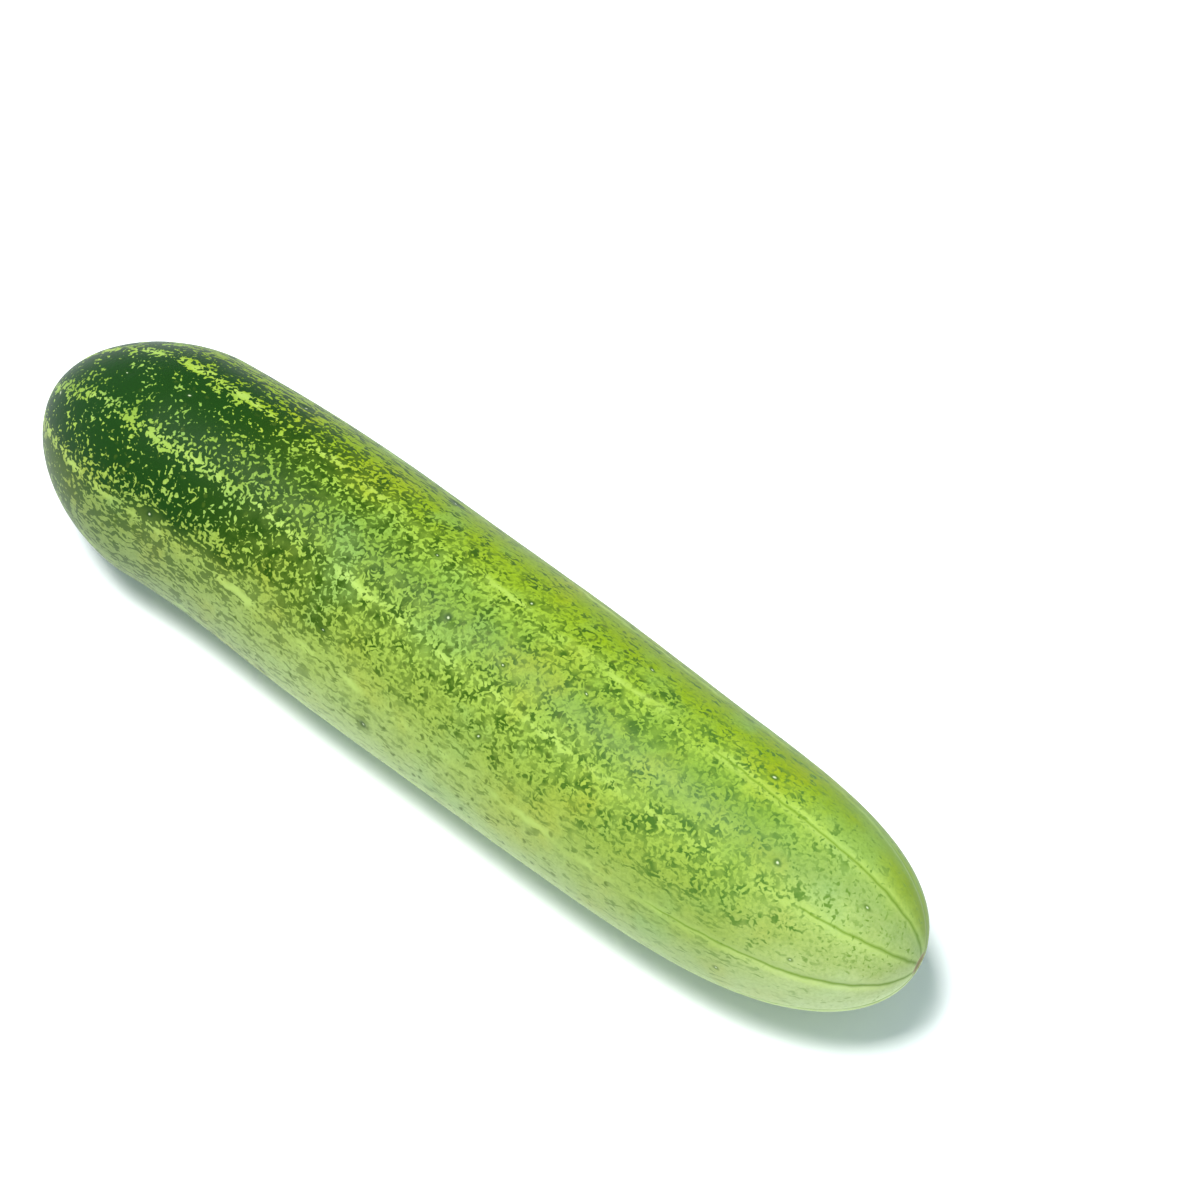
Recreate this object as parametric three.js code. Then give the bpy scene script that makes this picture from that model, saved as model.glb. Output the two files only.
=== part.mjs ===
// A whole cucumber, lying on its side as it was picked, with its stem broken away.
// Units are millimetres. +X runs from the stem end to the blossom end and +Z is up. It rests on z = 0.
// The fruit grew in one piece, so it is one mesh: a lathed body, then swayed, lobed, furrowed and flattened.
import * as THREE from "three";

// Driving dimensions of the body.
const LENGTH = 207;
const DIAMETER = 48;
const STEM_END = 31; // length over which the body rounds in to the stem end
const STEM_ROUNDNESS = 1.65; // 2 would make that end half an ellipsoid
const BLOSSOM_TAPER = 10; // a higher power keeps the body full for longer before the blossom end
const BOW = 2; // how far the middle stands to +Y of a straight fruit
const SWAY = 7.5; // strength of the shallow S seen from above

// Three carpels make the section faintly three-sided, with one flat side down.
const CARPELS = 3;
const CARPEL_SHARE = 0.02; // of the radius
const CARPEL_ANGLE = Math.PI / 2;

// Slow swells along the body, as no fruit is quite even, and one fuller place low on its -Y flank.
const SWELL = 0.2;
const SWELL_LENGTHS = [58, 91];
const BULGE = 1.5;
const BULGE_FROM_STEM = 86;
const BULGE_LENGTH = 32; // from its middle to where it has sunk to a third
const BULGE_ANGLE = (206 * Math.PI) / 180;

// Furrows that run back from the blossom tip along the seams of the fruit.
const SEAMS = 9;
const SEAM_DEPTH = 0.7;
const SEAM_WIDTH = 1.5;
const SEAM_REACH = 36; // mean reach from the blossom tip
const SEAM_REACH_SPREAD = 19;
const SEAM_REACH_STEP = 2.9; // radians from one seam's reach to the next one's

// Round scars, dished where the stem broke off and where the flower dropped.
const STEM_SCAR_RADIUS = 5.5;
const STEM_SCAR_DEPTH = 1.1;
const BLOSSOM_SCAR_RADIUS = 3;
const BLOSSOM_SCAR_DEPTH = 0.6;

// The underside is pressed flat by the fruit's own weight.
const BELLY_FLAT = 0.3;

// Facets: the sides are a multiple of the seams, so that each seam runs along a line of vertices.
const SIDES = 6 * SEAMS;
const RINGS = 56;
const SCAR_RINGS = 3; // further rings inside each scar

const RADIUS = DIAMETER / 2;
const STEM_TIP = -LENGTH / 2;

// The radius of the plain round body at a distance from the stem tip.
function bodyRadius(along) {
  const stem = 1 - Math.max(0, 1 - along / STEM_END) ** STEM_ROUNDNESS;
  const blossom = 1 - (along / LENGTH) ** BLOSSOM_TAPER;
  return RADIUS * Math.sqrt(Math.max(0, stem * blossom));
}

// The body's middle line at a distance from the stem tip: how far it lies to +Y, and its heading in radians.
function middleLine(along) {
  const q = (2 * along) / LENGTH - 1;
  const side = BOW * (1 - q * q) + SWAY * (q ** 3 - q);
  const slope = (2 / LENGTH) * (SWAY * (3 * q * q - 1) - 2 * BOW * q);
  return { side, heading: Math.atan(slope) };
}

// The depth of the nearest furrow. It is deepest at the blossom tip and fades out at its own reach.
function furrow(along, angle, radius) {
  const turns = (angle / (2 * Math.PI)) * SEAMS;
  const seam = Math.round(turns);
  const reach = SEAM_REACH + SEAM_REACH_SPREAD * Math.cos(SEAM_REACH_STEP * ((seam + SEAMS) % SEAMS));
  const beside = ((turns - seam) / SEAMS) * 2 * Math.PI * radius;
  const fade = Math.max(0, 1 - (LENGTH - along) / reach);
  return SEAM_DEPTH * fade * Math.exp(-((beside / SEAM_WIDTH) ** 2));
}

// How far the surface stands out at a place on the body, for the slow swells and the bulge.
function swell(along, angle) {
  const [first, second] = SWELL_LENGTHS.map((length) => (2 * Math.PI * along) / length);
  const waves = (SWELL / 2) * (Math.sin(first + 2 * angle) + Math.sin(second - angle));
  const facing = Math.max(0, Math.cos(angle - BULGE_ANGLE)) ** 2;
  return waves + BULGE * facing * Math.exp(-(((along - BULGE_FROM_STEM) / BULGE_LENGTH) ** 2));
}

// A smooth dish: 1 at the middle of a scar and 0 at its rim.
function dish(radius, rim) {
  return Math.max(0, 1 - (radius / rim) ** 2) ** 2;
}

// The lathe's profile from stem tip to blossom tip, as radius and height. Rings crowd towards both tips.
function bodyProfile() {
  const places = [];
  for (let ring = 0; ring <= RINGS; ring += 1) places.push(ring / RINGS);
  for (let ring = 1; ring <= SCAR_RINGS; ring += 1) {
    const share = (ring - 0.5) / (SCAR_RINGS * RINGS);
    places.push(share, 1 - share);
  }
  places.sort((a, b) => a - b);
  return places.map((place) => {
    const along = (LENGTH / 2) * (1 - Math.cos(Math.PI * place));
    return new THREE.Vector2(bodyRadius(along), STEM_TIP + along);
  });
}

// The cucumber as one closed surface.
function cucumberGeometry() {
  const geometry = new THREE.LatheGeometry(bodyProfile(), SIDES);
  geometry.rotateZ(-Math.PI / 2); // the lathe's height becomes +X
  geometry.rotateX(Math.PI / 2); // a line of vertices lies at angle 0, on +Y
  const position = geometry.getAttribute("position");
  const bellyRadius = RADIUS * (1 - CARPEL_SHARE);
  for (let i = 0; i < position.count; i += 1) {
    const along = position.getX(i) - STEM_TIP;
    const angle = Math.atan2(position.getZ(i), position.getY(i));
    const round = Math.hypot(position.getY(i), position.getZ(i));
    const lobes = 1 + CARPEL_SHARE * Math.cos(CARPELS * (angle - CARPEL_ANGLE));
    const fullness = round / RADIUS;
    const radius = round * lobes + fullness * (swell(along, angle) - furrow(along, angle, round));
    const stemDish = along < LENGTH / 2 ? STEM_SCAR_DEPTH * dish(round, STEM_SCAR_RADIUS) : 0;
    const blossomDish = along > LENGTH / 2 ? BLOSSOM_SCAR_DEPTH * dish(round, BLOSSOM_SCAR_RADIUS) : 0;
    const inset = stemDish - blossomDish;
    const across = radius * Math.cos(angle);
    const { side, heading } = middleLine(along);
    position.setXYZ(
      i,
      STEM_TIP + along + inset * Math.cos(heading) - across * Math.sin(heading),
      side + inset * Math.sin(heading) + across * Math.cos(heading),
      Math.max(0, bellyRadius - BELLY_FLAT + radius * Math.sin(angle)),
    );
  }
  return geometry;
}

// Centres the footprint on the origin, so that the origin is the bottom centre of the fruit's box.
function centreFootprint(geometry) {
  geometry.computeBoundingBox();
  const middle = geometry.boundingBox.getCenter(new THREE.Vector3());
  geometry.translate(-middle.x, -middle.y, -geometry.boundingBox.min.z);
  geometry.computeVertexNormals();
  return geometry;
}

const skin = new THREE.MeshStandardMaterial({ color: 0x86a63c, roughness: 0.45, metalness: 0 });
const cucumber = new THREE.Mesh(centreFootprint(cucumberGeometry()), skin);
cucumber.name = "cucumber";

const part = new THREE.Group();
part.add(cucumber);

export default part;
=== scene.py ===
import math

import bpy
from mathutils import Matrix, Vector


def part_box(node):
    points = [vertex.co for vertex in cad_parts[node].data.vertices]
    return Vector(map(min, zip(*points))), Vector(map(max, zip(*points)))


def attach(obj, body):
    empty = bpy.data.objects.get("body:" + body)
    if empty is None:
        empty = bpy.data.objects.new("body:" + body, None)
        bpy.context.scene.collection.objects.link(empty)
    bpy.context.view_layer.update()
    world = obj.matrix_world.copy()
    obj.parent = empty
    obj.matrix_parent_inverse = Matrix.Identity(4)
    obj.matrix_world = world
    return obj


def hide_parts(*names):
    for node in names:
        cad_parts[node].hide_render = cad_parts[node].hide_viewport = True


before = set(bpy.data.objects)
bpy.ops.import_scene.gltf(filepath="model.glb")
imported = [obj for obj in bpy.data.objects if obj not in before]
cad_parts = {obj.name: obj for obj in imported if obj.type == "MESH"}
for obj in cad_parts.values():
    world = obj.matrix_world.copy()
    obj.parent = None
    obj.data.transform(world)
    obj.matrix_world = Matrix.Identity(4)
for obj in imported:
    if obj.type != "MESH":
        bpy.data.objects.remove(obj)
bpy.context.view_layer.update()  # in metres: +X runs to the blossom end, +Z is up, and the fruit rests on z = 0


# The body of the fruit: one long berry, blunt where it hung from the stem and fuller where the flower was.
# It swelled around its middle line as it grew, so it is a round profile swept along that line, then lobed
# by its carpels, furrowed along its seams and pitted where its spines rubbed off.

MM = 0.001
low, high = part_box("cucumber")

BODY_SIZES = {
    "Length": high.x - low.x,
    "Radius": (high.z - low.z) / 2,
    "Stem End": 31 * MM,  # length over which the body rounds in to the stem
    "Stem Roundness": 1.65,  # 2 would be half an ellipsoid
    "Blossom Taper": 10.0,  # a higher power keeps the body full for longer
    "Bow": 2 * MM,
    "Sway": 7.5 * MM,
    "Belly Flat": 0.3 * MM,  # how far its own weight presses the underside in
    "Carpels": 3.0,
    "Carpel Share": 0.02,  # of the radius
    "Swell": 0.2 * MM,
    "First Swell Length": 58 * MM,
    "Second Swell Length": 91 * MM,
    "Bulge": 1.5 * MM,  # one fuller place low on the -Y flank
    "Bulge From Stem": 86 * MM,
    "Bulge Length": 32 * MM,
    "Bulge Angle": math.radians(206),
    "Seams": 9.0,
    "Seam Depth": 0.7 * MM,
    "Seam Width": 0.9 * MM,
    "Seam Reach": 36 * MM,
    "Reach Spread": 19 * MM,
    "Reach Step": 2.9,  # radians from one seam's reach to the next one's
    "Seam Twist": math.radians(18),  # how far the seams have wound round by the stem end
    "Seam Near": 4 * MM,  # the peel's material knows a seam this near, and none past the next
    "Seam Far": 6 * MM,
    "Scar Gap": 13 * MM,  # least distance between two spine scars
    "Scar Depth": 0.25 * MM,
    "Scar Width": 0.8 * MM,
    "Smallest Scar": 0.5,  # as a share of full size
    "Scar Near": 3 * MM,
    "Scar Far": 5 * MM,
    "Scars Offered": 4000.0,  # a square metre, before the gap thins them out
    "Unevenness": 0.12 * MM,
    "Unevenness Width": 7 * MM,
    "Stem Scar": 5.5 * MM,
    "Stem Scar Depth": 1.1 * MM,
    "Blossom Scar": 3.0 * MM,
    "Blossom Scar Depth": 0.6 * MM,
    "Profile Points": 600,  # fine points of the profile, before they are spaced out into rings
    "Rings": 380,
    "Sides": 252,  # a multiple of the seams, so that each seam runs along a line of vertices
    "Seed": 4,
}


def colour(code):
    """An sRGB colour such as "7fa51a", as linear RGBA."""
    parts = [int(code[i : i + 2], 16) / 255 for i in (0, 2, 4)]
    return (*[p / 12.92 if p <= 0.04045 else ((p + 0.055) / 1.055) ** 2.4 for p in parts], 1)


def add(tree, kind, inputs=(), stops=(), **settings):
    """Adds a node with its settings and a ramp's stops. Inputs take values, sockets or other nodes."""
    node = tree.nodes.new(kind)
    for name, value in settings.items():
        setattr(node, name, value)
    for number, (place, value) in enumerate(stops):
        elements = node.color_ramp.elements
        stop = elements[number] if number < 2 else elements.new(place)
        stop.position = place
        stop.color = colour(value) if isinstance(value, str) else (value, value, value, 1)
    for name, value in dict(inputs).items():
        if isinstance(name, str):
            name = next(i for i, socket in enumerate(node.inputs) if socket.enabled and socket.name == name)
        if isinstance(value, bpy.types.Node):
            value = next(socket for socket in value.outputs if socket.enabled)
        if isinstance(value, bpy.types.NodeSocket):
            tree.links.new(value, node.inputs[name])
        else:
            node.inputs[name].default_value = value
    return node


grown = bpy.data.node_groups.new("grown_body", "GeometryNodeTree")
grown.interface.new_socket("Geometry", in_out="OUTPUT", socket_type="NodeSocketGeometry")
for name, value in BODY_SIZES.items():
    kind = "NodeSocketInt" if isinstance(value, int) else "NodeSocketFloat"
    grown.interface.new_socket(name, in_out="INPUT", socket_type=kind)
grown.interface.new_socket("Peel", in_out="INPUT", socket_type="NodeSocketMaterial")
size = add(grown, "NodeGroupInput").outputs

# The profile, from stem tip to blossom tip: fine points crowd at both tips, then even steps along its arc.
rod = add(grown, "GeometryNodeCurvePrimitiveLine", {"End": (1, 0, 0)})
rod = add(grown, "GeometryNodeResampleCurve", {"Curve": rod, "Count": size["Profile Points"]})
here = add(grown, "GeometryNodeInputPosition")
place = add(grown, "ShaderNodeSeparateXYZ", {"Vector": here}).outputs["X"]
swing = add(grown, "ShaderNodeMath", {0: place, 1: math.pi}, operation="MULTIPLY")
swing = add(grown, "ShaderNodeMath", {0: swing}, operation="COSINE")
along = add(
    grown,
    "ShaderNodeMapRange",
    {"Value": swing, "From Min": 1, "From Max": -1, "To Min": 0, "To Max": size["Length"]},
)
stem = add(
    grown,
    "ShaderNodeMapRange",
    {"Value": along, "From Min": 0, "From Max": size["Stem End"], "To Min": 1, "To Max": 0},
)
stem = add(grown, "ShaderNodeMath", {0: stem, 1: size["Stem Roundness"]}, operation="POWER")
stem = add(grown, "ShaderNodeMath", {0: 1, 1: stem}, operation="SUBTRACT")
blossom = add(grown, "ShaderNodeMath", {0: along, 1: size["Length"]}, operation="DIVIDE")
blossom = add(grown, "ShaderNodeMath", {0: blossom, 1: size["Blossom Taper"]}, operation="POWER")
blossom = add(grown, "ShaderNodeMath", {0: 1, 1: blossom}, operation="SUBTRACT")
fullness = add(grown, "ShaderNodeMath", {0: stem, 1: blossom}, operation="MULTIPLY")
fullness = add(grown, "ShaderNodeMath", {0: fullness, 1: 0}, operation="MAXIMUM")
fullness = add(grown, "ShaderNodeMath", {0: fullness}, operation="SQRT")
height = add(grown, "ShaderNodeMath", {0: fullness, 1: size["Radius"]}, operation="MULTIPLY")
profile_point = add(grown, "ShaderNodeCombineXYZ", {"X": along, "Y": height})
profile = add(grown, "GeometryNodeSetPosition", {"Geometry": rod, "Position": profile_point})
profile = add(grown, "GeometryNodeResampleCurve", {"Curve": profile, "Count": size["Rings"]})

# The profile's height becomes each ring's radius, and its rings are joined into one closed skin.
profile_here = add(grown, "ShaderNodeSeparateXYZ", {"Vector": here})
profile = add(
    grown, "GeometryNodeSetCurveRadius", {"Curve": profile, "Radius": profile_here.outputs["Y"]}
)
axis_point = add(grown, "ShaderNodeCombineXYZ", {"X": profile_here.outputs["X"]})
axis = add(grown, "GeometryNodeSetPosition", {"Geometry": profile, "Position": axis_point})
ring = add(grown, "GeometryNodeCurvePrimitiveCircle", {"Resolution": size["Sides"], "Radius": 1})
ring_radius = add(grown, "GeometryNodeInputRadius")
skin = add(
    grown, "GeometryNodeCurveToMesh", {"Curve": axis, "Profile Curve": ring, "Scale": ring_radius}
)
skin = add(grown, "GeometryNodeMergeByDistance", {"Geometry": skin, "Distance": 1e-6})
skin = add(
    grown,
    "GeometryNodeStoreNamedAttribute",
    {"Geometry": skin, "Name": "grown", "Value": here},
    data_type="FLOAT_VECTOR",
)

# Each point of the straight skin, as a distance along it, a way out from its axis, an angle and a radius.
straight = add(grown, "ShaderNodeSeparateXYZ", {"Vector": here})
along = straight.outputs["X"]
across = add(grown, "ShaderNodeVectorMath", {0: here, 1: (0, 1, 1)}, operation="MULTIPLY")
outward = add(grown, "ShaderNodeVectorMath", {0: across}, operation="NORMALIZE")
radius = add(grown, "ShaderNodeVectorMath", {0: across}, operation="LENGTH").outputs["Value"]
angle = add(
    grown, "ShaderNodeMath", {0: straight.outputs["Z"], 1: straight.outputs["Y"]}, operation="ARCTAN2"
)
fullness = add(grown, "ShaderNodeMath", {0: radius, 1: size["Radius"]}, operation="DIVIDE")

# The seams: nine furrows that run back from the blossom tip, each for its own distance. Within a few
# millimetres of one, the peel's material is told how far off it is and how deep it runs.
to_tip = add(grown, "ShaderNodeMath", {0: size["Length"], 1: along}, operation="SUBTRACT")
twist = add(grown, "ShaderNodeMath", {0: to_tip, 1: size["Length"]}, operation="DIVIDE")
twist = add(grown, "ShaderNodeMath", {0: twist, 1: 3}, operation="POWER")
twist = add(
    grown, "ShaderNodeMath", {0: twist, 1: size["Seam Twist"], 2: angle}, operation="MULTIPLY_ADD"
)
turns = add(grown, "ShaderNodeMath", {0: twist, 1: 2 * math.pi}, operation="DIVIDE")
turns = add(grown, "ShaderNodeMath", {0: turns, 1: size["Seams"]}, operation="MULTIPLY")
seam = add(grown, "ShaderNodeMath", {0: turns}, operation="ROUND")
beside = add(grown, "ShaderNodeMath", {0: turns, 1: seam}, operation="SUBTRACT")
beside = add(grown, "ShaderNodeMath", {0: beside, 1: 2 * math.pi}, operation="MULTIPLY")
beside = add(grown, "ShaderNodeMath", {0: beside, 1: size["Seams"]}, operation="DIVIDE")
beside = add(grown, "ShaderNodeMath", {0: beside, 1: radius}, operation="MULTIPLY")
reach = add(grown, "ShaderNodeMath", {0: seam, 1: size["Seams"]}, operation="FLOORED_MODULO")
reach = add(grown, "ShaderNodeMath", {0: reach, 1: size["Reach Step"]}, operation="MULTIPLY")
reach = add(grown, "ShaderNodeMath", {0: reach}, operation="COSINE")
reach = add(
    grown,
    "ShaderNodeMath",
    {0: reach, 1: size["Reach Spread"], 2: size["Seam Reach"]},
    operation="MULTIPLY_ADD",
)
strength = add(
    grown,
    "ShaderNodeMapRange",
    {"Value": to_tip, "From Min": 0, "From Max": reach, "To Min": 1, "To Max": 0},
)
furrow = add(grown, "ShaderNodeMath", {0: beside, 1: size["Seam Width"]}, operation="DIVIDE")
furrow = add(grown, "ShaderNodeMath", {0: furrow, 1: 2}, operation="POWER")
furrow = add(grown, "ShaderNodeMath", {0: furrow, 1: -1}, operation="MULTIPLY")
furrow = add(grown, "ShaderNodeMath", {0: furrow}, operation="EXPONENT")
furrow = add(grown, "ShaderNodeMath", {0: furrow, 1: strength}, operation="MULTIPLY")
furrow = add(grown, "ShaderNodeMath", {0: furrow, 1: size["Seam Depth"]}, operation="MULTIPLY")
aside = add(grown, "ShaderNodeMath", {0: beside}, operation="ABSOLUTE")
near_seam = add(
    grown,
    "ShaderNodeMapRange",
    {
        "Value": aside,
        "From Min": size["Seam Near"],
        "From Max": size["Seam Far"],
        "To Min": 1,
        "To Max": 0,
    },
)
seam_facts = add(grown, "ShaderNodeCombineXYZ", {"X": beside, "Y": near_seam, "Z": strength})

# The spine scars, scattered evenly over the straight skin. Every point looks up its nearest one, and within
# a few millimetres of it the material is told how far along and across it lies, and its share of full size.
scars = add(
    grown,
    "GeometryNodeDistributePointsOnFaces",
    {
        "Mesh": skin,
        "Distance Min": size["Scar Gap"],
        "Density Max": size["Scars Offered"],
        "Seed": size["Seed"],
    },
    distribute_method="POISSON",
)
nearest = add(
    grown, "GeometryNodeSampleNearest", {"Geometry": scars, "Sample Position": here}, domain="POINT"
)
scar_here = add(
    grown,
    "GeometryNodeSampleIndex",
    {"Geometry": scars, "Value": here, "Index": nearest},
    data_type="FLOAT_VECTOR",
    domain="POINT",
)
scar_offset = add(grown, "ShaderNodeVectorMath", {0: here, 1: scar_here}, operation="SUBTRACT")
scar_distance = add(
    grown, "ShaderNodeVectorMath", {0: scar_offset}, operation="LENGTH"
).outputs["Value"]
scar_way = add(grown, "ShaderNodeVectorMath", {0: scar_here, 1: (0, 1, 1)}, operation="MULTIPLY")
scar_way = add(grown, "ShaderNodeVectorMath", {0: (1, 0, 0), 1: scar_way}, operation="CROSS_PRODUCT")
scar_way = add(grown, "ShaderNodeVectorMath", {0: scar_way}, operation="NORMALIZE")
scar_across = add(grown, "ShaderNodeVectorMath", {0: scar_offset, 1: scar_way}, operation="DOT_PRODUCT")
scar_along = add(grown, "ShaderNodeSeparateXYZ", {"Vector": scar_offset}).outputs["X"]
scar_size = add(
    grown,
    "FunctionNodeRandomValue",
    {"Min": size["Smallest Scar"], "Max": 1.0, "ID": nearest, "Seed": size["Seed"]},
)
near_scar = add(
    grown,
    "ShaderNodeMapRange",
    {
        "Value": scar_distance,
        "From Min": size["Scar Near"],
        "From Max": size["Scar Far"],
        "To Min": scar_size,
        "To Max": 0,
    },
)
scar_facts = add(
    grown, "ShaderNodeCombineXYZ", {"X": scar_along, "Y": scar_across.outputs["Value"], "Z": near_scar}
)
pit = add(grown, "ShaderNodeMath", {0: scar_distance, 1: size["Scar Width"]}, operation="DIVIDE")
pit = add(grown, "ShaderNodeMath", {0: pit, 1: 2}, operation="POWER")
pit = add(grown, "ShaderNodeMath", {0: pit, 1: -1}, operation="MULTIPLY")
pit = add(grown, "ShaderNodeMath", {0: pit}, operation="EXPONENT")
pit = add(grown, "ShaderNodeMath", {0: pit, 1: scar_size}, operation="MULTIPLY")
pit = add(grown, "ShaderNodeMath", {0: pit, 1: size["Scar Depth"]}, operation="MULTIPLY")

# Slow swells along the body, and a faint unevenness over all of it.
first_wave = add(grown, "ShaderNodeMath", {0: along, 1: size["First Swell Length"]}, operation="DIVIDE")
first_wave = add(grown, "ShaderNodeMath", {0: first_wave, 1: 2 * math.pi}, operation="MULTIPLY")
first_wave = add(grown, "ShaderNodeMath", {0: angle, 1: 2, 2: first_wave}, operation="MULTIPLY_ADD")
first_wave = add(grown, "ShaderNodeMath", {0: first_wave}, operation="SINE")
second_wave = add(
    grown, "ShaderNodeMath", {0: along, 1: size["Second Swell Length"]}, operation="DIVIDE"
)
second_wave = add(grown, "ShaderNodeMath", {0: second_wave, 1: 2 * math.pi}, operation="MULTIPLY")
second_wave = add(grown, "ShaderNodeMath", {0: second_wave, 1: angle}, operation="SUBTRACT")
second_wave = add(grown, "ShaderNodeMath", {0: second_wave}, operation="SINE")
swell = add(grown, "ShaderNodeMath", {0: first_wave, 1: second_wave}, operation="ADD")
swell = add(grown, "ShaderNodeMath", {0: swell, 1: size["Swell"]}, operation="MULTIPLY")
swell = add(grown, "ShaderNodeMath", {0: swell, 1: 0.5}, operation="MULTIPLY")
bulge = add(grown, "ShaderNodeMath", {0: along, 1: size["Bulge From Stem"]}, operation="SUBTRACT")
bulge = add(grown, "ShaderNodeMath", {0: bulge, 1: size["Bulge Length"]}, operation="DIVIDE")
bulge = add(grown, "ShaderNodeMath", {0: bulge, 1: 2}, operation="POWER")
bulge = add(grown, "ShaderNodeMath", {0: bulge, 1: -1}, operation="MULTIPLY")
bulge = add(grown, "ShaderNodeMath", {0: bulge}, operation="EXPONENT")
facing = add(grown, "ShaderNodeMath", {0: angle, 1: size["Bulge Angle"]}, operation="SUBTRACT")
facing = add(grown, "ShaderNodeMath", {0: facing}, operation="COSINE", use_clamp=True)
facing = add(grown, "ShaderNodeMath", {0: facing, 1: 2}, operation="POWER")
bulge = add(grown, "ShaderNodeMath", {0: bulge, 1: facing}, operation="MULTIPLY")
swell = add(grown, "ShaderNodeMath", {0: bulge, 1: size["Bulge"], 2: swell}, operation="MULTIPLY_ADD")
bump_scale = add(grown, "ShaderNodeMath", {0: 1, 1: size["Unevenness Width"]}, operation="DIVIDE")
bumps = add(
    grown, "ShaderNodeTexNoise", {"Vector": here, "Scale": bump_scale, "Detail": 1.5, "Roughness": 0.5}
)
bumps = add(grown, "ShaderNodeMath", {0: bumps, 1: 0.5}, operation="SUBTRACT")
relief = add(
    grown, "ShaderNodeMath", {0: bumps, 1: size["Unevenness"], 2: swell}, operation="MULTIPLY_ADD"
)
relief = add(grown, "ShaderNodeMath", {0: relief, 1: furrow}, operation="SUBTRACT")
relief = add(grown, "ShaderNodeMath", {0: relief, 1: pit}, operation="SUBTRACT")
relief = add(grown, "ShaderNodeMath", {0: relief, 1: fullness}, operation="MULTIPLY")

# Three carpels make the section faintly three-sided, with one flat side down.
lobes = add(grown, "ShaderNodeMath", {0: angle, 1: math.pi / 2}, operation="SUBTRACT")
lobes = add(grown, "ShaderNodeMath", {0: lobes, 1: size["Carpels"]}, operation="MULTIPLY")
lobes = add(grown, "ShaderNodeMath", {0: lobes}, operation="COSINE")
lobes = add(
    grown, "ShaderNodeMath", {0: lobes, 1: size["Carpel Share"], 2: 1}, operation="MULTIPLY_ADD"
)
section = add(grown, "ShaderNodeMath", {0: radius, 1: lobes, 2: relief}, operation="MULTIPLY_ADD")
section = add(grown, "ShaderNodeVectorMath", {0: outward, "Scale": section}, operation="SCALE")
section = add(grown, "ShaderNodeSeparateXYZ", {"Vector": section})

# Dished scars close both tips: where the stem broke off, and where the flower dropped.
stem_dish = add(grown, "ShaderNodeMath", {0: radius, 1: size["Stem Scar"]}, operation="DIVIDE")
stem_dish = add(grown, "ShaderNodeMath", {0: stem_dish, 1: 2}, operation="POWER")
stem_dish = add(grown, "ShaderNodeMath", {0: 1, 1: stem_dish}, operation="SUBTRACT", use_clamp=True)
stem_dish = add(grown, "ShaderNodeMath", {0: stem_dish, 1: 2}, operation="POWER")
stem_dish = add(
    grown, "ShaderNodeMath", {0: stem_dish, 1: size["Stem Scar Depth"]}, operation="MULTIPLY"
)
blossom_dish = add(grown, "ShaderNodeMath", {0: radius, 1: size["Blossom Scar"]}, operation="DIVIDE")
blossom_dish = add(grown, "ShaderNodeMath", {0: blossom_dish, 1: 2}, operation="POWER")
blossom_dish = add(
    grown, "ShaderNodeMath", {0: 1, 1: blossom_dish}, operation="SUBTRACT", use_clamp=True
)
blossom_dish = add(grown, "ShaderNodeMath", {0: blossom_dish, 1: 2}, operation="POWER")
blossom_dish = add(
    grown, "ShaderNodeMath", {0: blossom_dish, 1: size["Blossom Scar Depth"]}, operation="MULTIPLY"
)
blossom_half = add(grown, "ShaderNodeMath", {0: along, 1: to_tip}, operation="GREATER_THAN")
inset = add(
    grown,
    "ShaderNodeMix",
    {"Factor": blossom_half, "A": stem_dish, "B": blossom_dish},
    data_type="FLOAT",
)
way_in = add(grown, "ShaderNodeMapRange", {"Value": blossom_half, "To Min": 1, "To Max": -1})
dished = add(grown, "ShaderNodeMath", {0: inset, 1: way_in, 2: along}, operation="MULTIPLY_ADD")

# The middle line's shallow S, seen from above. Each section stands square to it.
place_on_line = add(grown, "ShaderNodeMath", {0: along, 1: size["Length"]}, operation="DIVIDE")
place_on_line = add(grown, "ShaderNodeMath", {0: place_on_line, 1: 2, 2: -1}, operation="MULTIPLY_ADD")
place_squared = add(grown, "ShaderNodeMath", {0: place_on_line, 1: place_on_line}, operation="MULTIPLY")
bow = add(grown, "ShaderNodeMath", {0: 1, 1: place_squared}, operation="SUBTRACT")
bow = add(grown, "ShaderNodeMath", {0: bow, 1: size["Bow"]}, operation="MULTIPLY")
sway = add(grown, "ShaderNodeMath", {0: place_squared, 1: 1}, operation="SUBTRACT")
sway = add(grown, "ShaderNodeMath", {0: sway, 1: place_on_line}, operation="MULTIPLY")
side = add(grown, "ShaderNodeMath", {0: sway, 1: size["Sway"], 2: bow}, operation="MULTIPLY_ADD")
sway_slope = add(grown, "ShaderNodeMath", {0: place_squared, 1: 3, 2: -1}, operation="MULTIPLY_ADD")
sway_slope = add(grown, "ShaderNodeMath", {0: sway_slope, 1: size["Sway"]}, operation="MULTIPLY")
bow_slope = add(grown, "ShaderNodeMath", {0: place_on_line, 1: -2}, operation="MULTIPLY")
slope = add(
    grown, "ShaderNodeMath", {0: bow_slope, 1: size["Bow"], 2: sway_slope}, operation="MULTIPLY_ADD"
)
slope = add(grown, "ShaderNodeMath", {0: slope, 1: 2}, operation="MULTIPLY")
slope = add(grown, "ShaderNodeMath", {0: slope, 1: size["Length"]}, operation="DIVIDE")
heading = add(grown, "ShaderNodeMath", {0: slope}, operation="ARCTANGENT")
inset_way = add(grown, "ShaderNodeMath", {0: dished, 1: along}, operation="SUBTRACT")
local = add(
    grown,
    "ShaderNodeCombineXYZ",
    {"X": inset_way, "Y": section.outputs["Y"], "Z": section.outputs["Z"]},
)
turned = add(
    grown, "ShaderNodeVectorRotate", {"Vector": local, "Angle": heading}, rotation_type="Z_AXIS"
)
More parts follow.
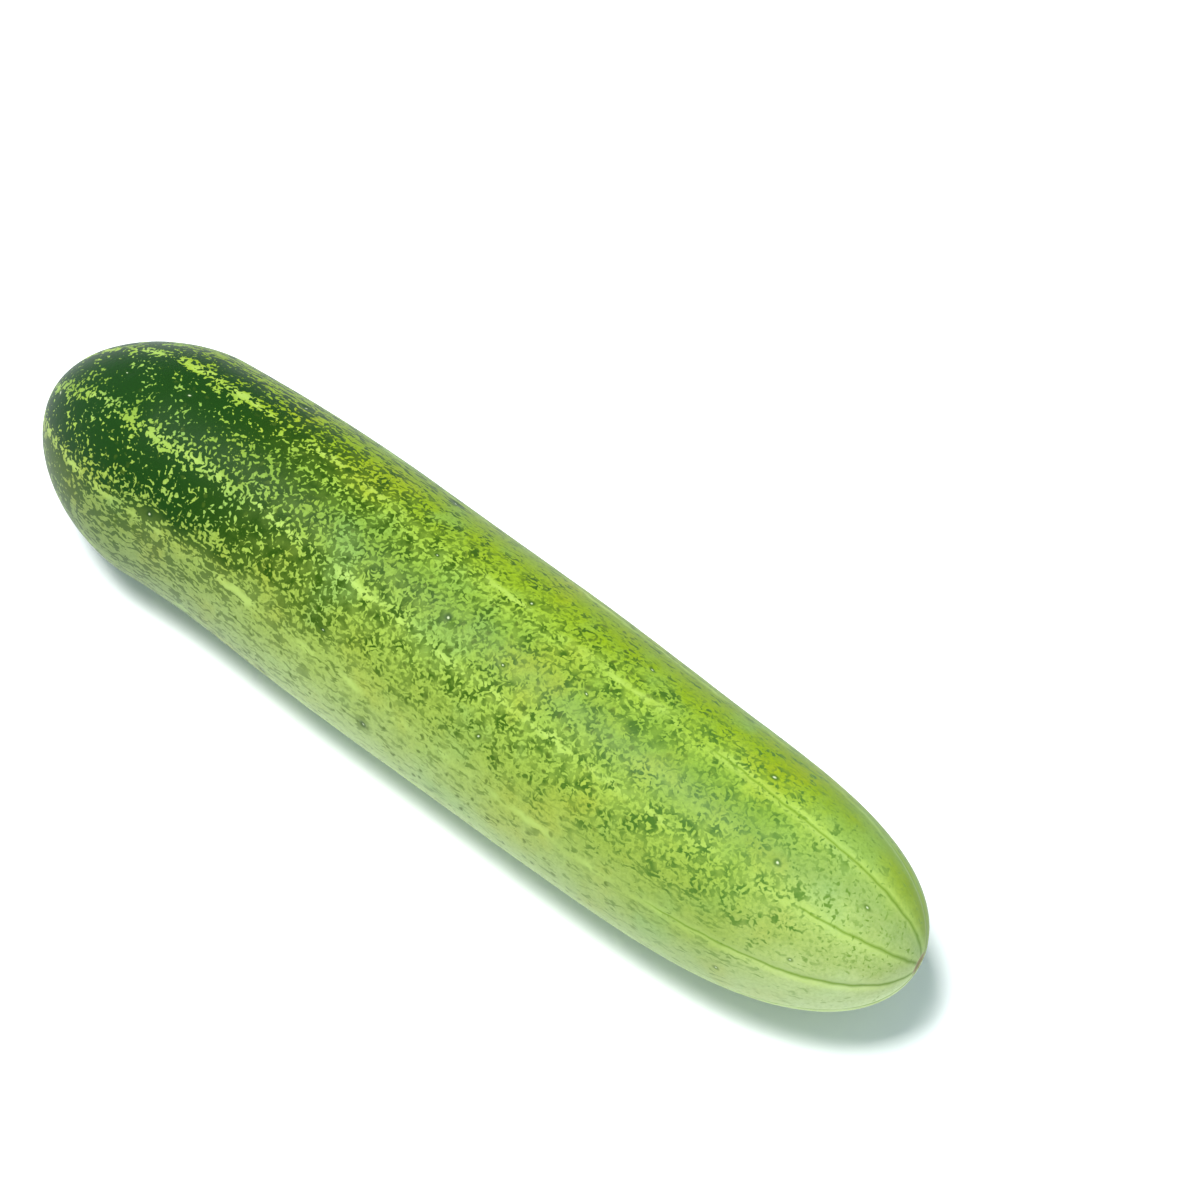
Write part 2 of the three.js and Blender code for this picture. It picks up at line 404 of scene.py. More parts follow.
on_line = add(grown, "ShaderNodeCombineXYZ", {"X": along, "Y": side})
bent = add(grown, "ShaderNodeVectorMath", {0: turned, 1: on_line}, operation="ADD")

# It lies down: the underside is pressed flat, and its box is centred over the origin.
lift = add(grown, "ShaderNodeMath", {0: 1, 1: size["Carpel Share"]}, operation="SUBTRACT")
lift = add(grown, "ShaderNodeMath", {0: lift, 1: size["Radius"]}, operation="MULTIPLY")
lift = add(grown, "ShaderNodeMath", {0: lift, 1: size["Belly Flat"]}, operation="SUBTRACT")
lifted = add(grown, "ShaderNodeCombineXYZ", {"Z": lift})
lifted = add(grown, "ShaderNodeVectorMath", {0: bent, 1: lifted}, operation="ADD")
lying = add(grown, "ShaderNodeVectorMath", {0: lifted, 1: (-1, -1, 0)}, operation="MAXIMUM")
skin = add(
    grown,
    "GeometryNodeStoreNamedAttribute",
    {"Geometry": skin, "Name": "seam", "Value": seam_facts},
    data_type="FLOAT_VECTOR",
)
skin = add(
    grown,
    "GeometryNodeStoreNamedAttribute",
    {"Geometry": skin, "Name": "scar", "Value": scar_facts},
    data_type="FLOAT_VECTOR",
)
skin = add(grown, "GeometryNodeSetPosition", {"Geometry": skin, "Position": lying})
box = add(grown, "GeometryNodeBoundBox", {"Geometry": skin})
middle = add(
    grown, "ShaderNodeVectorMath", {0: box.outputs["Min"], 1: box.outputs["Max"]}, operation="ADD"
)
to_centre = add(grown, "ShaderNodeVectorMath", {0: middle, 1: (-0.5, -0.5, 0)}, operation="MULTIPLY")
skin = add(grown, "GeometryNodeSetPosition", {"Geometry": skin, "Offset": to_centre})
skin = add(grown, "GeometryNodeSetShadeSmooth", {"Geometry": skin, "Shade Smooth": True})
skin = add(grown, "GeometryNodeRealizeInstances", {"Geometry": skin})
skin = add(grown, "GeometryNodeSetMaterial", {"Geometry": skin, "Material": size["Peel"]})
add(grown, "NodeGroupOutput", {"Geometry": skin})


# Cucumber peel: a thin green skin under its own wax. The green lies in tiny dark strokes over a paler
# ground, so densely at the stem end that only specks of ground show, and thinly towards the blossom end and
# the belly. The wax gives it a soft sheen rather than a gloss.

WANDER = 8 * MM  # from here to the grain: the width of one wave or cell of each pattern on the peel
WAVER = 4 * MM
STRIPE_GAP = 10 * MM
BLOTCH = 4 * MM
STROKE_BEND = 2.2 * MM
STROKE = 0.85 * MM
FLANK_STROKE = 0.75 * MM
DEPTH_PATCH = 3 * MM
HAZE_SPECK = 0.6 * MM
PORE_GAP = 2.8 * MM
TINT_PATCH = 15 * MM
WAX_GRAIN = 0.8 * MM
FRAY = 9 * MM  # how far the wander moves the pattern's edges
STROKE_SWERVE = 1.7 * MM  # how far the strokes are bent aside
FLANK_STRETCH = 0.24  # 1 would leave the flanks' strokes as crooked as those on top

SUNNED_GROUND = "9c9a1c"
COOL_GROUND = "6c9a62"
RIPE_GROUND = "dce8b4"
SHADED_GROUND = "5c7038"
STRIPE_GREEN = "a4bc62"
SEAM_GREEN = "5d7d1c"
PORE_OLIVE = "3e5414"
PIT_GREEN = "1c3a10"
# the spine base's own pale colour, lightened further into a painted highlight (a glint)
SPINE_BASE_AND_GLINT = "ccd8b0"
STEM_CORK = "8c8a68"
BLOSSOM_CORK = "7a6a34"

peel = bpy.data.materials.new("waxy_cucumber_peel")
peel.use_nodes = True
look = peel.node_tree
look.nodes.clear()

grown_at = add(look, "ShaderNodeAttribute", attribute_name="grown").outputs["Vector"]
seam_at = add(look, "ShaderNodeAttribute", attribute_name="seam").outputs["Vector"]
scar_at = add(look, "ShaderNodeAttribute", attribute_name="scar").outputs["Vector"]
seam_part = add(look, "ShaderNodeSeparateXYZ", {"Vector": seam_at})
scar_part = add(look, "ShaderNodeSeparateXYZ", {"Vector": scar_at})
straight = add(look, "ShaderNodeSeparateXYZ", {"Vector": grown_at})

# Where a point is: its share of the length from the stem, and its share of a turn from +Y over the top.
# A slow wander of a few millimetres frays every edge of the pattern.
wander = add(
    look, "ShaderNodeTexNoise", {"Vector": grown_at, "Scale": 1 / WANDER, "Detail": 3}
).outputs["Color"]
wander = add(look, "ShaderNodeVectorMath", {0: wander, 1: (0.5, 0.5, 0.5)}, operation="SUBTRACT")
frayed_at = add(
    look, "ShaderNodeVectorMath", {0: wander, 1: (FRAY,) * 3, 2: grown_at}, operation="MULTIPLY_ADD"
)
frayed = add(look, "ShaderNodeSeparateXYZ", {"Vector": frayed_at})
share = add(
    look, "ShaderNodeMath", {0: frayed.outputs["X"], 1: BODY_SIZES["Length"]}, operation="DIVIDE"
)
turn = add(
    look, "ShaderNodeMath", {0: frayed.outputs["Z"], 1: frayed.outputs["Y"]}, operation="ARCTAN2"
)
turn = add(look, "ShaderNodeMath", {0: turn, 1: 2 * math.pi}, operation="DIVIDE")
turn = add(look, "ShaderNodeMath", {0: turn}, operation="FRACT")

# The seam lines at the blossom end: a thin dark line between two pale shoulders, wavering a little.
waver = add(look, "ShaderNodeTexNoise", {"Vector": grown_at, "Scale": 1 / WAVER, "Detail": 2})
line_off = add(look, "ShaderNodeMath", {0: waver, 1: 1.0 * MM, 2: -0.5 * MM}, operation="MULTIPLY_ADD")
line_off = add(look, "ShaderNodeMath", {0: line_off, 1: seam_part.outputs["X"]}, operation="ADD")
line_off = add(look, "ShaderNodeMath", {0: line_off}, operation="ABSOLUTE")
line_edge = add(
    look,
    "ShaderNodeMapRange",
    {"Value": seam_part.outputs["Z"], "To Min": 0.3 * MM, "To Max": 0.65 * MM},
)
line = add(
    look,
    "ShaderNodeMapRange",
    {"Value": line_off, "From Min": 0, "From Max": line_edge, "To Min": 1, "To Max": 0},
)
drawn = add(
    look, "ShaderNodeMapRange", {"Value": seam_part.outputs["Z"], "From Min": 0.02, "From Max": 0.12}
)
drawn = add(look, "ShaderNodeMath", {0: drawn, 1: seam_part.outputs["Y"]}, operation="MULTIPLY")
line = add(look, "ShaderNodeMath", {0: line, 1: drawn}, operation="MULTIPLY")
shoulder = add(
    look,
    "ShaderNodeMapRange",
    {"Value": line_off, "From Min": 0.5 * MM, "From Max": 1.9 * MM, "To Min": 0.6, "To Max": 0},
    interpolation_type="SMOOTHSTEP",
)
shoulder = add(look, "ShaderNodeMath", {0: shoulder, 1: drawn}, operation="MULTIPLY")

# Pale stripes carry the seams on along the body, in broken, wavering lines.
stripe = add(look, "ShaderNodeMath", {0: waver, 1: 3.4 * MM, 2: -1.7 * MM}, operation="MULTIPLY_ADD")
stripe = add(look, "ShaderNodeMath", {0: stripe, 1: seam_part.outputs["X"]}, operation="ADD")
stripe = add(look, "ShaderNodeMath", {0: stripe}, operation="ABSOLUTE")
stripe = add(
    look,
    "ShaderNodeMapRange",
    {"Value": stripe, "From Min": 0.1 * MM, "From Max": 1.3 * MM, "To Min": 1, "To Max": 0},
    interpolation_type="SMOOTHSTEP",
)
stripe = add(look, "ShaderNodeMath", {0: stripe, 1: seam_part.outputs["Y"]}, operation="MULTIPLY")
gaps = add(look, "ShaderNodeTexNoise", {"Vector": grown_at, "Scale": 1 / STRIPE_GAP, "Detail": 3})
gaps = add(look, "ShaderNodeMapRange", {"Value": gaps, "From Min": 0.4, "From Max": 0.6})
stripe = add(look, "ShaderNodeMath", {0: stripe, 1: gaps}, operation="MULTIPLY")
pale_line = add(look, "ShaderNodeMath", {0: stripe, 1: shoulder}, operation="MAXIMUM")

# How far a point is from its spine scar. In the stem half a dark green blot surrounds each one.
scar_rag = add(look, "ShaderNodeVectorMath", {0: wander, "Scale": 4 * MM}, operation="SCALE")
scar_oval = add(look, "ShaderNodeVectorMath", {0: scar_at, 1: scar_rag}, operation="ADD")
scar_oval = add(look, "ShaderNodeVectorMath", {0: scar_oval, 1: (0.7, 1, 0)}, operation="MULTIPLY")
scar_far = add(look, "ShaderNodeVectorMath", {0: scar_oval}, operation="LENGTH").outputs["Value"]
scar_size = add(look, "ShaderNodeMath", {0: scar_part.outputs["Z"], 1: 0.01}, operation="MAXIMUM")
scar_far = add(look, "ShaderNodeMath", {0: scar_far, 1: scar_size}, operation="DIVIDE")
scar_green = add(
    look,
    "ShaderNodeMapRange",
    {"Value": share, "From Min": 0.45, "From Max": 0.6, "To Min": 1, "To Max": 0},
)
blot = add(
    look,
    "ShaderNodeMapRange",
    {"Value": scar_far, "From Min": 1.2 * MM, "From Max": 2.4 * MM, "To Min": 0.7, "To Max": 0},
    interpolation_type="SMOOTHSTEP",
)
blot = add(look, "ShaderNodeMath", {0: blot, 1: scar_green}, operation="MULTIPLY")

# How much of the surface the dark strokes take: round the fruit, along it, and in the solid patch at the
# stem end, where chains of specks follow the seams.
around = add(
    look,
    "ShaderNodeValToRGB",
    {"Fac": turn},
    stops=[
        (0.00, 0.73),
        (1.00, 0.73),
        (0.08, 0.60),
        (0.14, 0.55),
        (0.20, 0.82),
        (0.24, 0.87),
        (0.285, 0.72),
        (0.34, 1.00),
        (0.38, 0.78),
        (0.42, 0.68),
        (0.50, 0.50),
        (0.66, 0.36),
        (0.80, 0.60),
        (0.92, 0.82),
    ],
)
lengthwise = add(
    look,
    "ShaderNodeValToRGB",
    {"Fac": share},
    stops=[
        (0.00, 0.79),
        (1.00, 0.22),
        (0.20, 0.79),
        (0.35, 0.75),
        (0.50, 0.61),
        (0.70, 0.60),
        (0.84, 0.60),
        (0.91, 0.46),
    ],
)
cover = add(look, "ShaderNodeMath", {0: around, 1: lengthwise}, operation="MULTIPLY")
blotches = add(look, "ShaderNodeTexNoise", {"Vector": grown_at, "Scale": 1 / BLOTCH, "Detail": 2})
blotches = add(look, "ShaderNodeMath", {0: blotches, 1: 0.5}, operation="SUBTRACT")
cover = add(look, "ShaderNodeMath", {0: blotches, 1: 0.5, 2: cover}, operation="MULTIPLY_ADD")
patch_around = add(
    look,
    "ShaderNodeValToRGB",
    {"Fac": turn},
    stops=[
        (0.0, 0.2),
        (1.0, 0.2),
        (0.14, 0.1),
        (0.18, 0.9),
        (0.29, 0.8),
        (0.33, 1.0),
        (0.385, 0.0),
        (0.80, 0.0),
        (0.90, 0.8),
    ],
)
patch_along = add(
    look,
    "ShaderNodeMapRange",
    {"Value": share, "From Min": 0.1, "From Max": 0.36, "To Min": 1, "To Max": 0},
)
patch = add(look, "ShaderNodeMath", {0: patch_around, 1: patch_along}, operation="MULTIPLY")
cap = add(
    look,
    "ShaderNodeMapRange",
    {"Value": share, "From Min": 0.03, "From Max": 0.13, "To Min": 0.9, "To Max": 0},
)
patch = add(look, "ShaderNodeMath", {0: patch, 1: cap}, operation="MAXIMUM")
solid = add(look, "ShaderNodeMath", {0: blotches, 1: 1.3, 2: 0.95}, operation="MULTIPLY_ADD")
chain = add(look, "ShaderNodeMath", {0: waver, 1: 5 * MM, 2: -2.5 * MM}, operation="MULTIPLY_ADD")
chain = add(look, "ShaderNodeMath", {0: chain, 1: seam_part.outputs["X"]}, operation="ADD")
chain = add(look, "ShaderNodeMath", {0: chain}, operation="ABSOLUTE")
chain = add(
    look,
    "ShaderNodeMapRange",
    {"Value": chain, "From Min": 0.3 * MM, "From Max": 2.6 * MM, "To Min": 0.45, "To Max": 0},
    interpolation_type="SMOOTHSTEP",
)
chain = add(look, "ShaderNodeMath", {0: chain, 1: seam_part.outputs["Y"]}, operation="MULTIPLY")
solid = add(look, "ShaderNodeMath", {0: solid, 1: chain}, operation="SUBTRACT")
cover = add(look, "ShaderNodeMath", {0: pale_line, 1: -0.3, 2: cover}, operation="MULTIPLY_ADD")
cover = add(look, "ShaderNodeMath", {0: cover, 1: blot}, operation="ADD")
cover = add(look, "ShaderNodeMix", {"Factor": patch, "A": cover, "B": solid}, data_type="FLOAT")

# The strokes themselves: crooked and under half a millimetre wide on top, and drawn out lengthwise down
# the flanks.
flank = add(
    look,
    "ShaderNodeValToRGB",
    {"Fac": turn},
    stops=[
        (0.0, 0.9),
        (1.0, 0.9),
        (0.12, 0.8),
        (0.2, 0.1),
        (0.36, 0.0),
        (0.4, 0.5),
        (0.46, 0.75),
        (0.52, 1.0),
    ],
)
bent_at = add(
    look, "ShaderNodeTexNoise", {"Vector": grown_at, "Scale": 1 / STROKE_BEND, "Detail": 1}
).outputs["Color"]
bent_at = add(look, "ShaderNodeVectorMath", {0: bent_at, 1: (0.5, 0.5, 0.5)}, operation="SUBTRACT")
bent_at = add(
    look,
    "ShaderNodeVectorMath",
    {0: bent_at, 1: (STROKE_SWERVE,) * 3, 2: grown_at},
    operation="MULTIPLY_ADD",
)
crooked = add(
    look,
    "ShaderNodeTexNoise",
    {"Vector": bent_at, "Scale": 1 / STROKE, "Detail": 1.4, "Roughness": 0.5, "Distortion": 0.2},
)
drawn_out_at = add(
    look, "ShaderNodeVectorMath", {0: bent_at, 1: (FLANK_STRETCH, 1, 1)}, operation="MULTIPLY"
)
drawn_out = add(
    look,
    "ShaderNodeTexNoise",
    {
        "Vector": drawn_out_at,
        "Scale": 1 / FLANK_STROKE,
        "Detail": 1.0,
        "Roughness": 0.5,
        "Distortion": 0.2,
    },
)
strokes = add(look, "ShaderNodeMix", {"Factor": flank, "A": crooked, "B": drawn_out}, data_type="FLOAT")
level = add(look, "ShaderNodeMath", {0: cover, 1: 0.4, 2: 0.3}, operation="MULTIPLY_ADD")
darkness = add(look, "ShaderNodeMath", {0: level, 1: strokes}, operation="SUBTRACT")
edge = add(
    look,
    "ShaderNodeMapRange",
    {"Value": share, "From Min": 0.2, "From Max": 0.5, "To Min": 0.035, "To Max": 0.06},
)
darkness = add(look, "ShaderNodeMath", {0: darkness, 1: edge}, operation="DIVIDE")
darkness = add(
    look,
    "ShaderNodeMapRange",
    {"Value": darkness, "From Min": -1, "From Max": 1},
    interpolation_type="SMOOTHSTEP",
)

# Outside the patch the strokes differ in depth, and a finer haze of green lies between them.
depth = add(look, "ShaderNodeTexNoise", {"Vector": grown_at, "Scale": 1 / DEPTH_PATCH, "Detail": 3})
depth = add(
    look,
    "ShaderNodeMapRange",
    {"Value": depth, "From Min": 0.38, "From Max": 0.62, "To Min": 0.45, "To Max": 1.0},
)
all_deep = add(
    look,
    "ShaderNodeMapRange",
    {"Value": share, "From Min": 0.25, "From Max": 0.5, "To Min": 1, "To Max": 0},
)
depth = add(look, "ShaderNodeMix", {"Factor": all_deep, "A": depth, "B": 1.0}, data_type="FLOAT")
darkness = add(look, "ShaderNodeMath", {0: darkness, 1: depth}, operation="MULTIPLY")
haze = add(look, "ShaderNodeTexNoise", {"Vector": grown_at, "Scale": 1 / HAZE_SPECK, "Detail": 2})
haze = add(
    look,
    "ShaderNodeMapRange",
    {"Value": haze, "From Min": 0.4, "From Max": 0.65, "To Min": 0, "To Max": 0.28},
)
haze = add(look, "ShaderNodeMix", {"Factor": patch, "A": haze, "B": 0.0}, data_type="FLOAT")
haze = add(look, "ShaderNodeMix", {"Factor": pale_line, "A": haze, "B": 0.0}, data_type="FLOAT")
darkness = add(look, "ShaderNodeMath", {0: darkness, 1: haze}, operation="MAXIMUM")

# The ground's colour round the fruit: palest under the belly, yellowest on the +Y flank, deeper on the -Y
# flank's stem end, sunned or cool in slow patches, and paler towards the blossom end.
ground = add(
    look,
    "ShaderNodeValToRGB",
    {"Fac": turn},
    stops=[
        (0.00, "7a923a"),
        (1.00, "7a923a"),
        (0.12, "6e8600"),
        (0.17, "789200"),
        (0.23, "84a03a"),
        (0.25, "749232"),
        (0.28, "6a8830"),
        (0.335, "86a040"),
        (0.39, "80963c"),
        (0.45, "889c4e"),
        (0.51, "97a96c"),
        (0.65, "b4c68a"),
        (0.82, "98ae64"),
    ],
)
green_end = add(
    look,
    "ShaderNodeMapRange",
    {"Value": share, "From Min": 0.1, "From Max": 0.4, "To Min": 0.8, "To Max": 0},
)
green_end = add(look, "ShaderNodeMath", {0: green_end, 1: flank}, operation="MULTIPLY")
near_flank = add(
    look,
    "ShaderNodeValToRGB",
    {"Fac": turn},
    stops=[(0.385, 0.0), (0.95, 0.0), (0.42, 1.0), (0.80, 1.0)],
)
green_end = add(look, "ShaderNodeMath", {0: green_end, 1: near_flank}, operation="MULTIPLY")
ground = add(
    look,
    "ShaderNodeMix",
    {"Factor": green_end, "A": ground, "B": colour(SHADED_GROUND)},
    data_type="RGBA",
)
tint = add(look, "ShaderNodeTexNoise", {"Vector": grown_at, "Scale": 1 / TINT_PATCH, "Detail": 3})
sunned = add(
    look, "ShaderNodeMapRange", {"Value": tint, "From Min": 0.55, "From Max": 0.7, "To Max": 0.25}
)
ground = add(
    look, "ShaderNodeMix", {"Factor": sunned, "A": ground, "B": colour(SUNNED_GROUND)}, data_type="RGBA"
)
cool = add(
    look, "ShaderNodeMapRange", {"Value": tint, "From Min": 0.46, "From Max": 0.32, "To Max": 0.25}
)
ground = add(
    look, "ShaderNodeMix", {"Factor": cool, "A": ground, "B": colour(COOL_GROUND)}, data_type="RGBA"
)
ripe = add(
    look, "ShaderNodeMapRange", {"Value": share, "From Min": 0.84, "From Max": 1.0, "To Max": 0.28}
)
ripe_round = add(look, "ShaderNodeMath", {0: flank, 1: near_flank}, operation="MULTIPLY")
off_flank = add(
    look,
    "ShaderNodeValToRGB",
    {"Fac": turn},
    stops=[(0.14, 0.1), (0.98, 0.1), (0.30, 1.0), (0.80, 1.0)],
)
ripe_round = add(look, "ShaderNodeMath", {0: ripe_round, 1: off_flank}, operation="ADD")
ripe = add(look, "ShaderNodeMath", {0: ripe, 1: ripe_round}, operation="MULTIPLY")
ground = add(
    look, "ShaderNodeMix", {"Factor": ripe, "A": ground, "B": colour(RIPE_GROUND)}, data_type="RGBA"
)

# The strokes' own green, darkest at the stem end, and softened into the ground down the -Y flank.
fleck = add(
    look,
    "ShaderNodeValToRGB",
    {"Fac": share},
    stops=[
        (0.00, "12340f"),
        (1.00, "6c8a34"),
        (0.20, "123406"),
        (0.28, "1c3a02"),
        (0.37, "284402"),
        (0.62, "34520c"),
        (0.80, "3e601e"),
        (0.90, "4e7028"),
    ],
)
soften = add(
    look,
    "ShaderNodeMapRange",
    {"Value": share, "From Min": 0.08, "From Max": 0.3, "To Min": 0.3, "To Max": 0.5},
)
soften = add(look, "ShaderNodeMath", {0: soften, 1: flank}, operation="MULTIPLY")
soften = add(look, "ShaderNodeMath", {0: soften, 1: near_flank}, operation="MULTIPLY")
fleck = add(look, "ShaderNodeMix", {"Factor": soften, "A": fleck, "B": ground}, data_type="RGBA")

# Ground, pale stripes, strokes and seam lines, one over the other.
pale = add(look, "ShaderNodeMath", {0: pale_line, 1: 0.4}, operation="MULTIPLY")
skin_colour = add(
    look, "ShaderNodeMix", {"Factor": pale, "A": ground, "B": colour(STRIPE_GREEN)}, data_type="RGBA"
)
skin_colour = add(
    look, "ShaderNodeMix", {"Factor": darkness, "A": skin_colour, "B": fleck}, data_type="RGBA"
)
line = add(look, "ShaderNodeMath", {0: line, 1: 0.85}, operation="MULTIPLY")
skin_colour = add(
    look, "ShaderNodeMix", {"Factor": line, "A": skin_colour, "B": colour(SEAM_GREEN)}, data_type="RGBA"
)

# Pores and old rubs: dark olive pinpoints a few millimetres apart, fading towards the blossom end and left
# out of the solid patch.
pores = add(
    look, "ShaderNodeTexVoronoi", {"Vector": bent_at, "Scale": 1 / PORE_GAP}
).outputs["Distance"]
pore_depth = add(
    look,
    "ShaderNodeMapRange",
    {"Value": share, "From Min": 0.65, "From Max": 0.82, "To Min": 0.75, "To Max": 0.1},
)
pores = add(
    look,
    "ShaderNodeMapRange",
    {"Value": pores, "From Min": 0.11, "From Max": 0.22, "To Min": pore_depth, "To Max": 0},
)
pores = add(look, "ShaderNodeMix", {"Factor": patch, "A": pores, "B": 0.0}, data_type="FLOAT")
skin_colour = add(
    look,
    "ShaderNodeMix",
    {"Factor": pores, "A": skin_colour, "B": colour(PORE_OLIVE)},
    data_type="RGBA",
)

# Spine scars: a sunken dark oval with the pale stub of the spine's base in the middle. The stub is painted
# brighter than its own colour, a painted highlight standing for the glint a light leaves on it. Towards the
# blossom end a paler rim surrounds it.
scar_pit = add(
    look,
    "ShaderNodeMapRange",
    {"Value": scar_far, "From Min": 0.4 * MM, "From Max": 1.1 * MM, "To Min": 0.85, "To Max": 0},
    interpolation_type="SMOOTHSTEP",
)
scar_ring = add(
    look,
    "ShaderNodeMapRange",
    {"Value": scar_far, "From Min": 0.9 * MM, "From Max": 2.2 * MM, "To Min": 0.5, "To Max": 0},
    interpolation_type="SMOOTHSTEP",
)
scar_ring = add(
    look, "ShaderNodeMix", {"Factor": scar_green, "A": scar_ring, "B": 0.0}, data_type="FLOAT"
)
skin_colour = add(
    look, "ShaderNodeMix", {"Factor": scar_ring, "A": skin_colour, "B": ground}, data_type="RGBA"
)
pit_green = add(look, "ShaderNodeMath", {0: scar_green, 1: 0.6, 2: 0.3}, operation="MULTIPLY_ADD")
pit_colour = add(
    look, "ShaderNodeMix", {"Factor": pit_green, "A": fleck, "B": colour(PIT_GREEN)}, data_type="RGBA"
)
skin_colour = add(
    look, "ShaderNodeMix", {"Factor": scar_pit, "A": skin_colour, "B": pit_colour}, data_type="RGBA"
)
# The pale stub of each spine base, painted brighter than it is as a painted highlight: a glint on each scar.
spine_base_and_glint = add(
    look,
    "ShaderNodeMapRange",
    {"Value": scar_far, "From Min": 0.08 * MM, "From Max": 0.32 * MM, "To Min": 0.75, "To Max": 0},
)
skin_colour = add(
    look,
    "ShaderNodeMix",
    {"Factor": spine_base_and_glint, "A": skin_colour, "B": colour(SPINE_BASE_AND_GLINT)},
    data_type="RGBA",
)

# Both tips: grey cork where the stem broke off, and a small brown scar where the flower dropped.
from_axis = add(look, "ShaderNodeVectorMath", {0: grown_at, 1: (0, 1, 1)}, operation="MULTIPLY")
from_axis = add(look, "ShaderNodeVectorMath", {0: from_axis}, operation="LENGTH").outputs["Value"]
tip_edge = add(
    look, "ShaderNodeMath", {0: blotches, 1: 2.5 * MM, 2: from_axis}, operation="MULTIPLY_ADD"
)
stem_scar = add(
    look,
    "ShaderNodeMapRange",
    {"Value": tip_edge, "From Min": 4.2 * MM, "From Max": 5.4 * MM, "To Min": 1, "To Max": 0},
)
blossom_scar = add(
    look,
    "ShaderNodeMapRange",
    {"Value": tip_edge, "From Min": 1.6 * MM, "From Max": 2.6 * MM, "To Min": 1, "To Max": 0},
)
stem_half = add(
    look,
    "ShaderNodeMath",
    {0: straight.outputs["X"], 1: BODY_SIZES["Length"] / 2},
    operation="LESS_THAN",
)
tip_scar = add(
    look, "ShaderNodeMix", {"Factor": stem_half, "A": blossom_scar, "B": stem_scar}, data_type="FLOAT"
)
cork = add(
    look,
    "ShaderNodeMix",
    {"Factor": stem_half, "A": colour(BLOSSOM_CORK), "B": colour(STEM_CORK)},
    data_type="RGBA",
)
skin_colour = add(
    look, "ShaderNodeMix", {"Factor": tip_scar, "A": skin_colour, "B": cork}, data_type="RGBA"
)

# The wax: smooth over a faint grain, with the strokes standing a hair proud.
grain = add(look, "ShaderNodeTexNoise", {"Vector": grown_at, "Scale": 1 / WAX_GRAIN, "Detail": 2})
height = add(look, "ShaderNodeMath", {0: darkness, 1: 0.35, 2: grain}, operation="MULTIPLY_ADD")
bump = add(look, "ShaderNodeBump", {"Strength": 0.25, "Distance": 0.12 * MM, "Height": height})

surface = add(
    look,
    "ShaderNodeBsdfPrincipled",
    {
        "Base Color": skin_colour,
        "Roughness": 0.45,
        "IOR": 1.45,
        "Specular IOR Level": 0.1,
        "Subsurface Weight": 0.1,
        "Subsurface Radius": (1.0, 1.0, 0.3),
        "Subsurface Scale": 0.5 * MM,
        "Normal": bump,
    },
)
add(look, "ShaderNodeOutputMaterial", {"Surface": surface})

# The body is grown by its tree and kept as a plain mesh.
fruit = bpy.data.objects.new("cucumber_peel", bpy.data.meshes.new("cucumber_peel"))
bpy.context.collection.objects.link(fruit)
growth = fruit.modifiers.new("growth", "NODES")
growth.node_group = grown
for socket in grown.interface.items_tree:
    if socket.in_out == "INPUT":
        growth[socket.identifier] = BODY_SIZES.get(socket.name, peel)
evaluated = fruit.evaluated_get(bpy.context.evaluated_depsgraph_get())
skin_mesh = bpy.data.meshes.new_from_object(evaluated)
fruit.modifiers.clear()
fruit.data = skin_mesh
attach(fruit, "root")
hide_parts("cucumber")


# The studio: a white paper sweep, one square softbox high above the stem end, a little to the -Y side, and
# a pale cool room all round that fills the shadows.

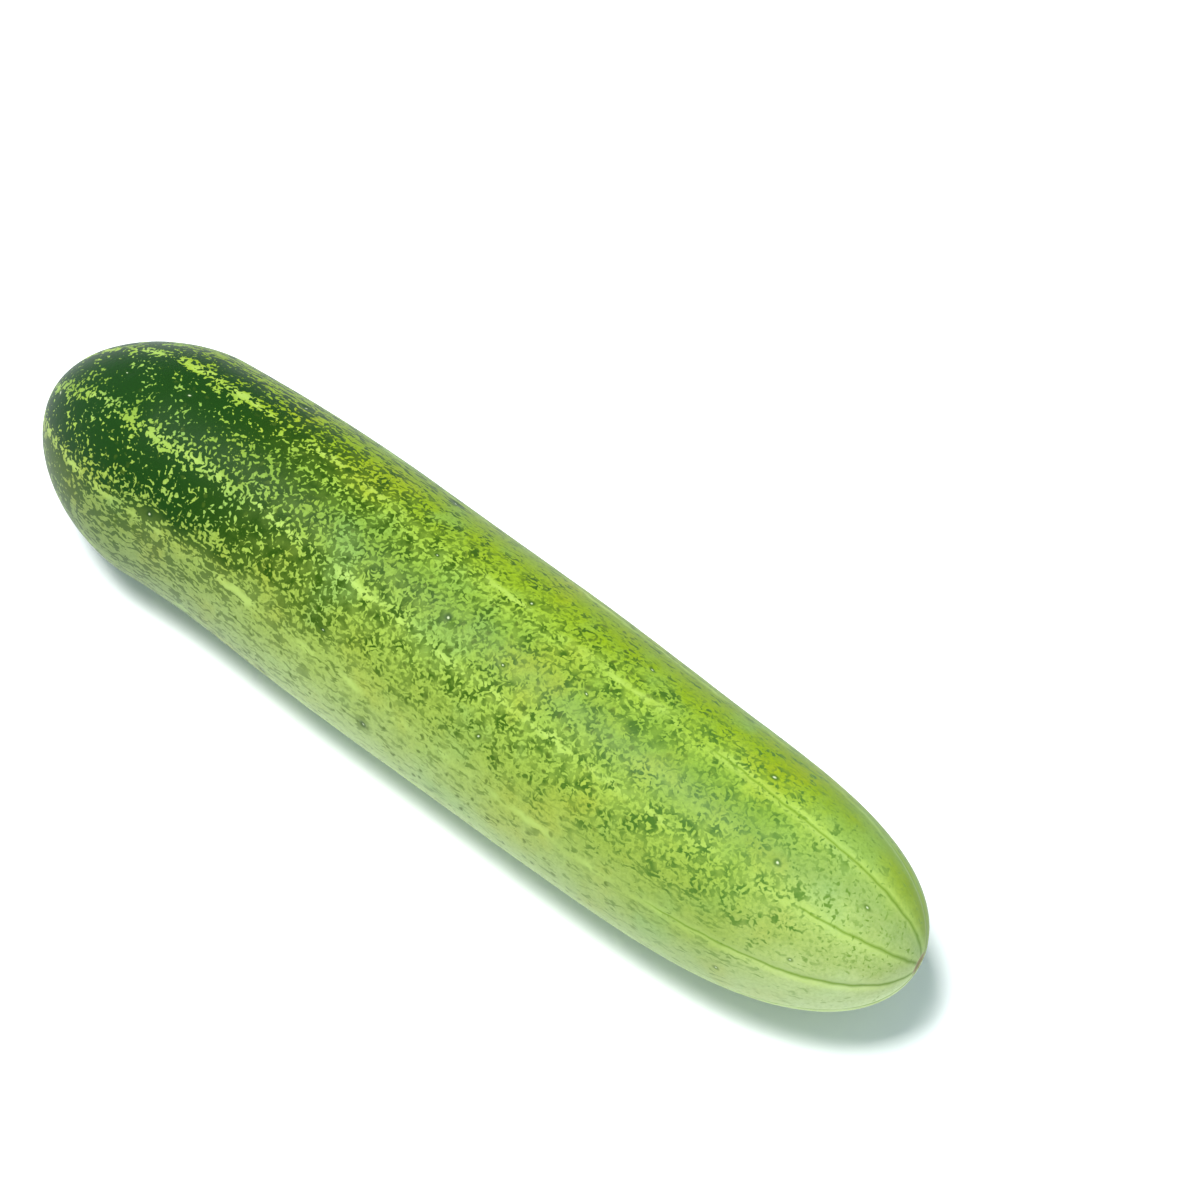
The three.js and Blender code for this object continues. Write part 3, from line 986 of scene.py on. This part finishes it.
PAPER_WHITE = "eef2f4"
PAPER_ROUGHNESS = 0.9
SWEEP_HALF_WIDTH = 2.5
ROOM_COLOUR = (0.78, 0.93, 1, 1)
ROOM_STRENGTH = 0.6
CAMERA_AZIMUTH = math.radians(36.7)
CAMERA_ELEVATION = math.radians(58)
CAMERA_DISTANCE = 0.65
CAMERA_AIM = Vector((2.9 * MM, 37.2 * MM, 0))
CAMERA_LENS = 97.5  # in millimetres, as Blender takes it
SOFTBOX_WIDTH = 0.3
SOFTBOX_WATTS = 14
SOFTBOX_COLOUR = (1.0, 0.985, 0.96)
SOFTBOX_PLACE = Vector((-0.1, -0.13, 0.9))

white = bpy.data.materials.new("white_paper_sweep")
white.use_nodes = True
white.node_tree.nodes["Principled BSDF"].inputs["Base Color"].default_value = colour(PAPER_WHITE)
white.node_tree.nodes["Principled BSDF"].inputs["Roughness"].default_value = PAPER_ROUGHNESS
floor_mesh = bpy.data.meshes.new("floor")
corners = [(x * SWEEP_HALF_WIDTH, y * SWEEP_HALF_WIDTH, 0) for x, y in ((-1, -1), (1, -1), (1, 1), (-1, 1))]
floor_mesh.from_pydata(corners, [], [(0, 1, 2, 3)])
floor_mesh.materials.append(white)
floor = bpy.data.objects.new("floor", floor_mesh)
bpy.context.collection.objects.link(floor)

world = bpy.data.worlds.new("white_room")
world.use_nodes = True
world.node_tree.nodes["Background"].inputs["Color"].default_value = ROOM_COLOUR
world.node_tree.nodes["Background"].inputs["Strength"].default_value = ROOM_STRENGTH
bpy.context.scene.world = world
bpy.context.scene.view_settings.view_transform = "Standard"

back = Vector(
    (
        math.sin(CAMERA_AZIMUTH) * math.cos(CAMERA_ELEVATION),
        -math.cos(CAMERA_AZIMUTH) * math.cos(CAMERA_ELEVATION),
        math.sin(CAMERA_ELEVATION),
    )
)
camera = bpy.data.objects.new("camera", bpy.data.cameras.new("camera"))
camera.data.lens = CAMERA_LENS
camera.location = CAMERA_AIM + back * CAMERA_DISTANCE
camera.rotation_euler = (-back).to_track_quat("-Z", "Y").to_euler()
camera.data.clip_start = 0.01
camera.data.clip_end = 20
bpy.context.collection.objects.link(camera)
bpy.context.scene.camera = camera

key = bpy.data.lights.new("softbox", "AREA")
key.shape = "RECTANGLE"
key.size = SOFTBOX_WIDTH
key.size_y = SOFTBOX_WIDTH
key.energy = SOFTBOX_WATTS
key.color = SOFTBOX_COLOUR
softbox = bpy.data.objects.new("softbox", key)
softbox.location = SOFTBOX_PLACE
softbox.rotation_euler = (-SOFTBOX_PLACE).to_track_quat("-Z", "Y").to_euler()
bpy.context.collection.objects.link(softbox)
